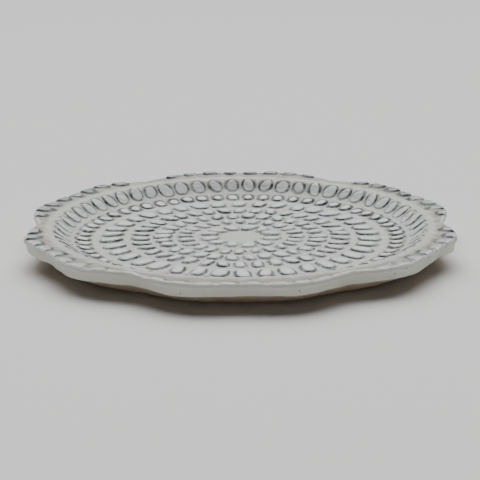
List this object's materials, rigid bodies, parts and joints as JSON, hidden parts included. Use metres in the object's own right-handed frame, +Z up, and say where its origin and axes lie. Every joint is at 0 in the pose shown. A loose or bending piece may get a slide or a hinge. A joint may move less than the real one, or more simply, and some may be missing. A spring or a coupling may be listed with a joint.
{
  "type": "scalloped dessert plate",
  "caption": "Shallow round stoneware plate with a scalloped edge, rows of pressed petals and a white glaze, for serving a dessert.",
  "frame": {"origin": "centre of the flat base, on the surface that the plate stands on", "axes": "+Z up out of the well; -Y towards the pictured front, where the middle of a lobe is; +X to the right"},
  "size_m": [0.1936, 0.1964, 0.0145],
  "materials": {
    "bare_stoneware": "bare fired stoneware, matt and slightly gritty, brown-grey with dark specks",
    "white_glaze": "satin to glossy off-white glaze, warmer where it is thin, with fine pinholes",
    "pooled_glaze": "charcoal grey glaze pooled in the pressed grooves"
  },
  "bodies": {
    "root": {"stoneware_body": "bare_stoneware", "white_glaze": "white_glaze", "pooled_glaze_row_1": "pooled_glaze", "pooled_glaze_row_2": "pooled_glaze", "pooled_glaze_row_3": "pooled_glaze", "pooled_glaze_row_4": "pooled_glaze", "pooled_glaze_row_5": "pooled_glaze", "pooled_glaze_row_6": "pooled_glaze", "pooled_glaze_row_7": "pooled_glaze", "pooled_glaze_row_8": "pooled_glaze"}
  },
  "joints": []
}
